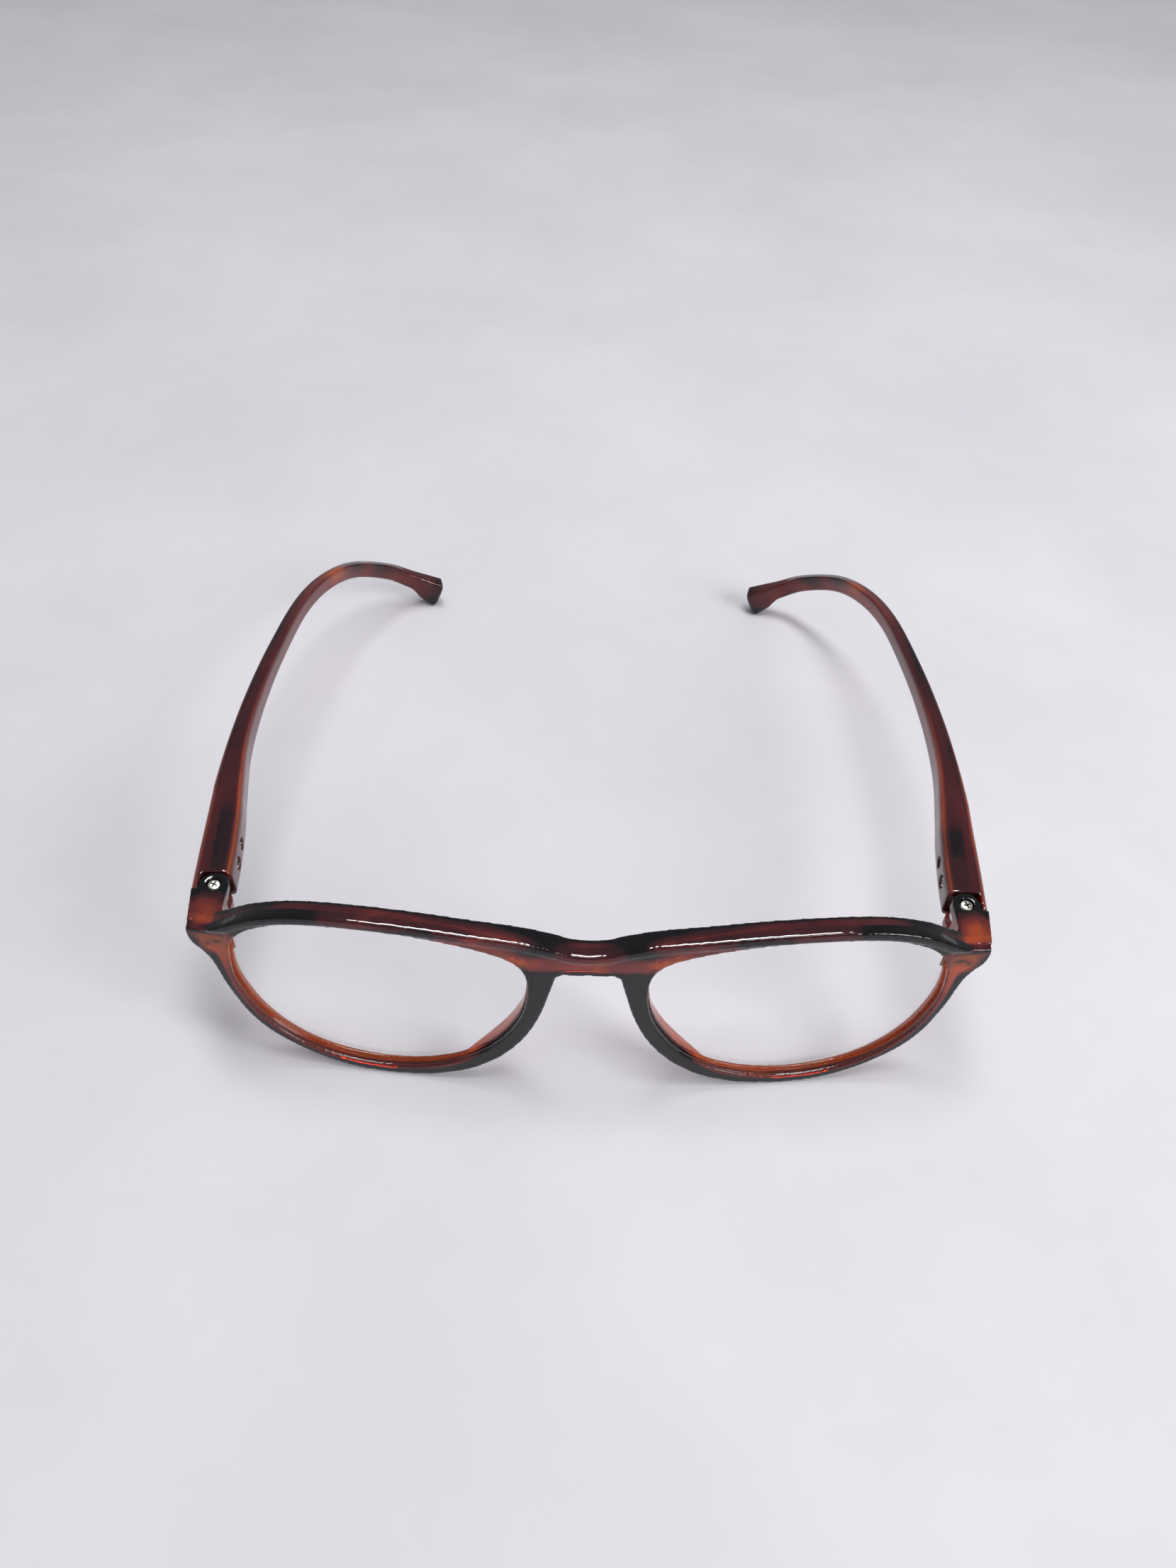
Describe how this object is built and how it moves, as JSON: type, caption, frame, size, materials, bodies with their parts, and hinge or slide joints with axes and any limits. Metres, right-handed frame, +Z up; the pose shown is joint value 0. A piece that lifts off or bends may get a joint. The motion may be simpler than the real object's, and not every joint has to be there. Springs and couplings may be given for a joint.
{
  "type": "spectacles",
  "caption": "Full-rim spectacles in translucent tortoiseshell plastic, with clear lenses, moulded nose pads and spring-loaded folding temples.",
  "frame": {"origin": "middle of the bounding box's footprint, on the surface that the rims and ear ends stand on", "axes": "+Y from the front to the ear ends, +Z up, +X to the right as seen from in front of the lenses"},
  "size_m": [0.1474, 0.1464, 0.0421],
  "materials": {
    "tortoise_plastic": "polished translucent red-brown plastic with near-black tortoiseshell patches",
    "clear_lens": "clear polished lens",
    "bright_steel": "bright nickel-plated steel",
    "brass": "turned brass"
  },
  "bodies": {
    "front": {"front_frame": "tortoise_plastic", "lens_left": "clear_lens", "lens_right": "clear_lens", "hinge_screw_left": "bright_steel", "hinge_screw_right": "bright_steel", "hinge_insert_left": "brass", "hinge_insert_right": "brass"},
    "link_left": {"hinge_link_left": "bright_steel", "flex_spring_left": "bright_steel", "rod_nut_left": "bright_steel"},
    "temple_left_body": {"temple_left": "tortoise_plastic", "guide_block_left": "bright_steel", "retaining_screw_left": "bright_steel"},
    "link_right": {"hinge_link_right": "bright_steel", "flex_spring_right": "bright_steel", "rod_nut_right": "bright_steel"},
    "temple_right_body": {"temple_right": "tortoise_plastic", "guide_block_right": "bright_steel", "retaining_screw_right": "bright_steel"}
  },
  "joints": [
    {"name": "fold_left", "type": "hinge", "parent": "front", "child": "link_left", "pos_m": [-0.0677, -0.05502, 0.031], "axis": [-0.0489, 0, -0.9988], "range_deg": [0, 80]},
    {"name": "flex_left", "type": "slide", "parent": "link_left", "child": "temple_left_body", "axis": [-0.0871, 0.9962, 0.0043], "range_m": [0, 0.001], "stiffness_N_per_m": 4000, "springref_m": -0.0006},
    {"name": "fold_right", "type": "hinge", "parent": "front", "child": "link_right", "pos_m": [0.0677, -0.05502, 0.031], "axis": [0.0489, 0, 0.9988], "range_deg": [0, 80]},
    {"name": "flex_right", "type": "slide", "parent": "link_right", "child": "temple_right_body", "axis": [0.0871, 0.9962, -0.0043], "range_m": [0, 0.001], "stiffness_N_per_m": 4000, "springref_m": -0.0006}
  ]
}
